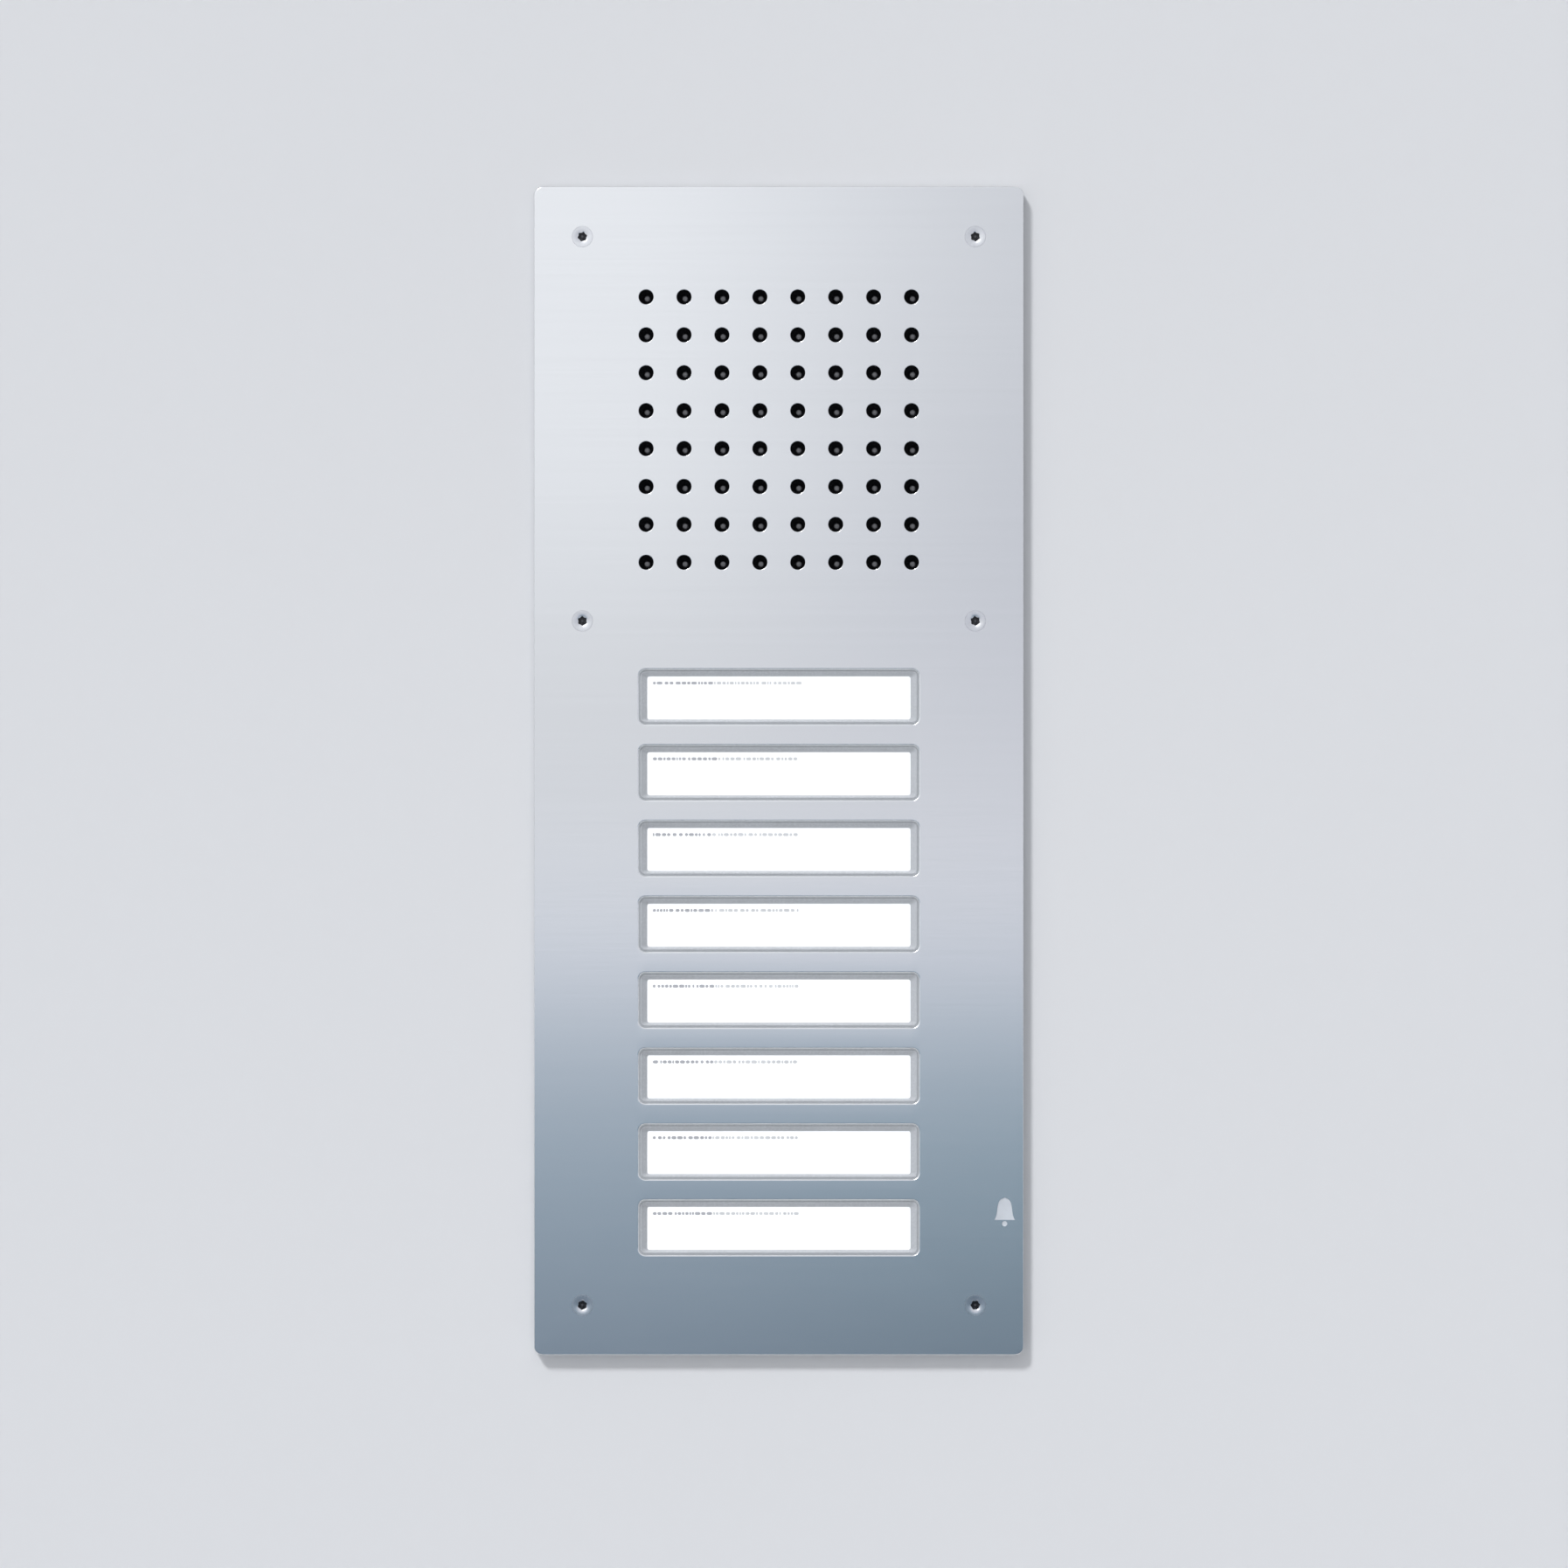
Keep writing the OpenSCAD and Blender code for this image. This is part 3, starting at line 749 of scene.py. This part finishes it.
def make_cap(i):
    """A cap: clear lens, frosted rim bevelled into it, flange, label pocket and guide pegs.

    Its rings run from the lens over the rim, down the sides and the flange, and into the pocket.
    """
    bm = bmesh.new()
    z = BUTTON_Z[i]
    fillet, chamfer = 0.3, 0.2

    def shape(width, height, radius, y, drop=0.0):
        """An oblong ring of the cap, dropped below its middle or not."""
        return ring_at(rounded_outline(width, height, radius, 6, (0.0, z - drop)), y)

    def flange(inset, y):
        """A ring of the flange, inset on all sides."""
        return shape(FLANGE_W - 2 * inset, FLANGE_H - 2 * inset, FLANGE_R - inset, y)

    land = 0.45
    rings = [shape(LABEL_W - 0.1, LABEL_H - 0.1, 0.6, POCKET_FRONT - 0.1, LABEL_DROP),
             shape(LABEL_W + 0.1, LABEL_H + 0.1, 0.7, POCKET_FRONT - 0.2, LABEL_DROP),
             shape(CAP_W - 2 * land - 0.1, CAP_H - 2 * land - 0.1, 1.1, CAP_FRONT + 0.08),
             shape(CAP_W - 2 * land, CAP_H - 2 * land, 1.15, CAP_FRONT)]
    for k in range(5):
        a = math.radians(90 * k / 4)
        inset = fillet * (1 - math.sin(a))
        rings.append(shape(CAP_W - 2 * inset, CAP_H - 2 * inset, CAP_R - inset,
                           CAP_FRONT + fillet * (1 - math.cos(a))))
    rim_bands = len(rings) - 1
    rings += [
        shape(CAP_W, CAP_H, CAP_R, FLANGE_FRONT - 0.15),
        shape(CAP_W + 0.3, CAP_H + 0.3, CAP_R + 0.15, FLANGE_FRONT),
        flange(chamfer, FLANGE_FRONT), flange(0.0, FLANGE_FRONT + chamfer),
        flange(0.0, FLANGE_BACK - chamfer), flange(chamfer, FLANGE_BACK),
        shape(LABEL_W + 0.8, LABEL_H + 0.8, 0.6, FLANGE_BACK, LABEL_DROP),
        shape(LABEL_W + 0.4, LABEL_H + 0.4, 0.4, FLANGE_BACK - 0.2, LABEL_DROP),
        shape(LABEL_W + 0.4, LABEL_H + 0.4, 0.4, POCKET_FRONT, LABEL_DROP)]
    rows = add_rings(bm, rings, materials=[1 + int(k >= rim_bands) for k in range(len(rings))])
    cap_ring(bm, rows[0], 0)
    cap_ring(bm, rows[-1], 0)
    for side in (-1, 1):
        lathe(bm, [(0.0, FLANGE_BACK - 0.2), (PEG_R + 0.3, FLANGE_BACK - 0.2),
                   (PEG_R + 0.3, FLANGE_BACK), (PEG_R, FLANGE_BACK + 0.3),
                   (PEG_R, PEG_END - 0.3), (PEG_R - 0.3, PEG_END), (0.0, PEG_END)],
              (side * PEG_X, z), 24, 1)
    return finish_piece(bm, f"clear_button_cap_{i}", f"call_button_{i}", "clear_cap",
                        looks["clear_cap"], frosted, lit, replaces=[f"button_cap_{i}"])


def make_label(i):
    """The white film behind a cap, with slightly rounded corners."""
    bm = bmesh.new()
    centre = (0.0, BUTTON_Z[i] - LABEL_DROP)
    rings = [ring_at(rounded_outline(LABEL_W - 2 * inset, LABEL_H - 2 * inset, 0.8 - inset, 6,
                                     centre), y)
             for inset, y in ((0.06, LABEL_FRONT + 0.06), (0.0, LABEL_FRONT + 0.12),
                              (0.0, LABEL_BACK - 0.06), (0.06, LABEL_BACK))]
    rows = add_rings(bm, rings)
    cap_ring(bm, rows[0])
    cap_ring(bm, rows[-1])
    return finish_piece(bm, f"white_name_label_{i}", f"call_button_{i}", "label_film",
                        looks["label_film"], replaces=[f"name_label_{i}"])


def add_dash(bm, x0, x1, z, height, y0, y1, material):
    """A flat printed dash with round ends."""
    width = x1 - x0
    outline = rounded_outline(width, height, min(height, width) * 0.49, 3, ((x0 + x1) / 2, z))
    rows = add_rings(bm, [ring_at(outline, y0), ring_at(outline, y1)], material)
    cap_ring(bm, rows[0], material)
    cap_ring(bm, rows[-1], material)


def make_label_print(i):
    """A line of small print on a label, as plain dashes that spell nothing: bold, then pale."""
    rng = random.Random(40 + i)
    bm = bmesh.new()
    below_top, height = 2.0, 0.9
    line_z = BUTTON_Z[i] - LABEL_DROP + LABEL_H / 2 - below_top
    start, bold_end, pale_end = -36.6, -19.5, 5.2
    x = start
    while x < pale_end:
        pale = x > bold_end
        length = rng.uniform(0.45, 1.7)
        add_dash(bm, x, x + length, line_z, height, LABEL_FRONT, LABEL_FRONT + 0.1, int(pale))
        x += length + rng.choice((0.2, 0.2, 0.28, 0.6))
    return finish_piece(bm, f"label_print_{i}", f"call_button_{i}", "label_film", bold_ink,
                        pale_ink)


for i in BUTTONS:
    make_cap(i)
    make_label(i)
    make_label_print(i)


# ---- Return springs ------------------------------------------------------------------------

def add_helix(bm, centre, coil_r, wire_r, y0, y1, turns, around=6, steps=18):
    """A coil spring along Y whose end turns lie flat."""
    count = int(turns * steps)
    rings = []
    for k in range(count + 1):
        t = k / count
        a = 2 * math.pi * turns * t
        lead = min(max((t * turns - 0.8) / (turns - 1.6), 0.0), 1.0)
        y = y0 + wire_r + (y1 - y0 - 2 * wire_r) * lead
        middle = Vector((centre[0] + coil_r * math.cos(a), y, centre[1] + coil_r * math.sin(a)))
        outward = Vector((math.cos(a), 0.0, math.sin(a)))
        along_y = Vector((0.0, 1.0, 0.0))
        rings.append([middle + wire_r * (outward * math.cos(b) + along_y * math.sin(b))
                      for b in (2 * math.pi * m / around for m in range(around))])
    rows = add_rings(bm, rings)
    cap_ring(bm, rows[0])
    cap_ring(bm, rows[-1])


def make_springs(i):
    """Two coil springs round a cap's pegs. The real ones shorten as the button goes in; these keep
    one length.
    """
    low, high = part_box(f"return_springs_{i}")
    bm = bmesh.new()
    for side in (-1, 1):
        add_helix(bm, (side * PEG_X, BUTTON_Z[i]), 1.78, 0.2, low.y / MM, high.y / MM, 6.0)
    piece = finish_piece(bm, f"coil_springs_{i}", HOUSING, "spring_steel", looks["spring_steel"],
                         sharp=60.0, replaces=[f"return_springs_{i}"])
    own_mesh(piece)


for i in BUTTONS:
    make_springs(i)


# ---- Cable grommet -------------------------------------------------------------------------

def make_grommet():
    """A soft grommet with rolled flanges, a thin skirt and a beaded bore."""
    low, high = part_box("cable_grommet")
    y0, y1 = low.y / MM, high.y / MM
    bore, flange, hub = 4.0, 12.0, 9.0
    sheet_front, sheet_back = y0 + 2.0, y1 - 2.0
    outline = arc_profile((bore + 0.6, y0 + 0.6), 0.6, 180, 270)
    outline += arc_profile((flange - 0.8, y0 + 0.8), 0.8, 270, 360)
    outline += [(flange, sheet_front), (hub, sheet_front), (hub, sheet_back), (flange, sheet_back)]
    outline += arc_profile((flange - 0.8, y1 - 0.8), 0.8, 0, 90)
    for r in (9.4, 8.2, 7.0):
        outline += [(r + 0.3, y1), (r, y1 - 0.35), (r - 0.3, y1)]
    outline += arc_profile((bore + 0.6, y1 - 0.6), 0.6, 90, 180)
    bm = bmesh.new()
    lathe(bm, outline, (cad_centre("cable_grommet").x, cad_centre("cable_grommet").z), 64)
    return finish_piece(bm, "rubber_grommet", HOUSING, "black_rubber", looks["black_rubber"],
                        sharp=50.0, replaces=["cable_grommet"])


make_grommet()


# ---- Softened edges on the CAD nodes that are moulded or folded -----------------------------

for node in ("back_box", "speaker_housing", "button_carrier", "terminal_block",
             "board_components", "switch_bodies"):
    rounding = frame["nodes"][node].modifiers.new("soft_edges", "BEVEL")
    rounding.width = 0.25 * MM
    rounding.segments = 2
    rounding.limit_method = "ANGLE"
    rounding.angle_limit = math.radians(40)
    rounding.harden_normals = False


# ---- Camera --------------------------------------------------------------------------------

def make_camera():
    """A long lens square on to the panel, aimed a little to the right of and below its middle."""
    view_height, distance, sensor = 0.4549, 3.0, 36.0
    data = bpy.data.cameras.new("camera")
    data.sensor_width = sensor
    data.lens = sensor * distance / view_height
    data.clip_end = 50.0
    camera = bpy.data.objects.new("camera", data)
    camera.location = (0.0015, panel_low.y - distance, -0.0038)
    camera.rotation_euler = (math.radians(90), 0, 0)
    bpy.context.scene.collection.objects.link(camera)
    bpy.context.scene.camera = camera


make_camera()


# ---- Stage and light -----------------------------------------------------------------------

def stage_mesh(name, corners, faces, material):
    """A flat-sided piece of the stage."""
    mesh = bpy.data.meshes.new(name)
    mesh.from_pydata(corners, [], faces)
    mesh.materials.append(material)
    obj = bpy.data.objects.new(name, mesh)
    bpy.context.scene.collection.objects.link(obj)
    return obj


def painted_plaster(name, colour, one_sided):
    """Smooth pale paint. A one-sided wall lets views from behind look through it."""
    look = Look(name, colour, 0.85, Specular_IOR_Level=0.2)
    look.relief(look.noise((260.0,) * 3, detail=5.0), 0.00003, 0.2)
    if one_sided:
        output = look.tree.nodes["Material Output"]
        clear = look.node("ShaderNodeBsdfTransparent")
        side = look.node("ShaderNodeNewGeometry")
        mix = look.node("ShaderNodeMixShader")
        look.link(side.outputs["Backfacing"], mix.inputs["Fac"])
        look.link(look.shader.outputs["BSDF"], mix.inputs[1])
        look.link(clear.outputs["BSDF"], mix.inputs[2])
        look.link(mix.outputs["Shader"], output.inputs["Surface"])
    return look.material


def make_wall():
    """The wall round the recess that the back box sits in."""
    reach = 3.0
    half_w, half_h = 0.0645, 0.163
    outer = [(-reach, 0, -reach), (reach, 0, -reach), (reach, 0, reach), (-reach, 0, reach)]
    inner = [(-half_w, 0, -half_h), (half_w, 0, -half_h), (half_w, 0, half_h),
             (-half_w, 0, half_h)]
    faces = [(k, (k + 1) % 4, 4 + (k + 1) % 4, 4 + k) for k in range(4)]
    stage_mesh("wall", outer + inner, faces,
               painted_plaster("wall_paint", (0.755, 0.770, 0.80), True))


def make_floor():
    """A plain pale floor, far below the panel."""
    reach, drop = 6.0, -1.3
    corners = [(-reach, -reach, drop), (reach, -reach, drop), (reach, reach, drop),
               (-reach, reach, drop)]
    stage_mesh("floor", corners, [(0, 1, 2, 3)],
               painted_plaster("floor_paint", (0.68, 0.69, 0.70), False))


# The glow in front of the panel by height in metres: its colour to the left and to the right
GLOW = ((-0.190, (0.185, 0.24, 0.31), (0.14, 0.19, 0.25)),
        (-0.125, (0.32, 0.42, 0.51), (0.265, 0.38, 0.46)),
        (-0.098, (0.33, 0.41, 0.50), (0.275, 0.37, 0.46)),
        (-0.080, (0.46, 0.54, 0.64), (0.42, 0.51, 0.61)),
        (-0.062, (0.87, 0.88, 0.98), (0.84, 0.84, 0.94)),
        (-0.045, (0.90, 0.92, 0.98), (0.88, 0.89, 0.95)),
        (0.000, (0.76, 0.77, 0.80), (0.73, 0.74, 0.80)),
        (0.050, (0.80, 0.82, 0.86), (0.65, 0.67, 0.74)),
        (0.080, (0.93, 0.95, 0.99), (0.65, 0.67, 0.73)),
        (0.160, (0.98, 1.00, 1.04), (0.74, 0.76, 0.81)))


def make_reflector():
    """A graded screen round the front that only glossy rays see: pale above, dusk below."""
    look = Look("reflector_glow", (0, 0, 0), 1.0)
    output = look.tree.nodes["Material Output"]
    coordinates = look.node("ShaderNodeTexCoord")
    split = look.node("ShaderNodeSeparateXYZ")
    glow = look.node("ShaderNodeEmission")
    across = look.node("ShaderNodeMix", data_type="RGBA")
    look.link(coordinates.outputs["Object"], split.inputs["Vector"])
    low, high = GLOW[0][0], GLOW[-1][0]
    height = look.remap(split.outputs["Z"], 0.0, 1.0, low, high)
    for side, entry in ((1, "A"), (2, "B")):
        ramp = look.node("ShaderNodeValToRGB")
        elements = ramp.color_ramp.elements
        while len(elements) < len(GLOW):
            elements.new(0.5)
        for element, stop in zip(elements, GLOW):
            element.position = (stop[0] - low) / (high - low)
            element.color = (*stop[side], 1.0)
        look.link(height, ramp.inputs["Fac"])
        look.link(ramp.outputs["Color"], across.inputs[entry])
    look.link(look.remap(split.outputs["X"], 0.0, 1.0, -0.04, 0.07), across.inputs["Factor"])
    look.link(across.outputs["Result"], glow.inputs["Color"])
    look.link(glow.outputs["Emission"], output.inputs["Surface"])
    wide, deep, near, tall = 0.45, -0.3, -0.02, 0.5
    plan = ((-wide - 0.15, near), (-wide, deep), (wide, deep), (wide + 0.15, near))
    corners = [(x, y, z) for z in (-tall, tall) for x, y in plan]
    faces = [(0, 1, 5, 4), (1, 2, 6, 5), (2, 3, 7, 6), (4, 5, 6, 7)]
    screen = stage_mesh("reflector", corners, faces, look.material)
    screen.visible_camera = False
    screen.visible_diffuse = False
    screen.visible_shadow = False
    screen.visible_transmission = False
    screen.visible_volume_scatter = False


def add_sun(name, travel, strength, angle):
    """A sun whose light travels along a direction. A wider angle makes softer shadows."""
    data = bpy.data.lights.new(name, "SUN")
    data.energy = strength
    data.angle = math.radians(angle)
    sun = bpy.data.objects.new(name, data)
    sun.rotation_euler = Vector(travel).to_track_quat("-Z", "Y").to_euler()
    bpy.context.scene.collection.objects.link(sun)


def make_world():
    """Even soft light, a little brighter from above."""
    world = bpy.data.worlds.new("soft_light")
    world.use_nodes = True
    tree = world.node_tree
    background = tree.nodes["Background"]
    coordinates = tree.nodes.new("ShaderNodeTexCoord")
    split = tree.nodes.new("ShaderNodeSeparateXYZ")
    ramp = tree.nodes.new("ShaderNodeValToRGB")
    spread = tree.nodes.new("ShaderNodeMapRange")
    spread.inputs["From Min"].default_value = -1.0
    tree.links.new(coordinates.outputs["Generated"], split.inputs["Vector"])
    tree.links.new(split.outputs["Z"], spread.inputs["Value"])
    tree.links.new(spread.outputs["Result"], ramp.inputs["Fac"])
    tree.links.new(ramp.outputs["Color"], background.inputs["Color"])
    ramp.color_ramp.elements[0].color = (0.25, 0.25, 0.25, 1.0)
    ramp.color_ramp.elements[1].color = (0.60, 0.60, 0.61, 1.0)
    bpy.context.scene.world = world


def make_stage():
    """The wall, the floor, the screen and the light, with colours shown as they are."""
    make_wall()
    make_floor()
    make_reflector()
    add_sun("key_sun", (2.65, 4.0, -4.65), 1.86, 10.0)
    add_sun("rear_fill", (0.25, -1.0, -0.25), 2.0, 25.0)
    make_world()
    bpy.context.scene.view_settings.view_transform = "Standard"
    bpy.context.scene.view_settings.look = "None"


make_stage()
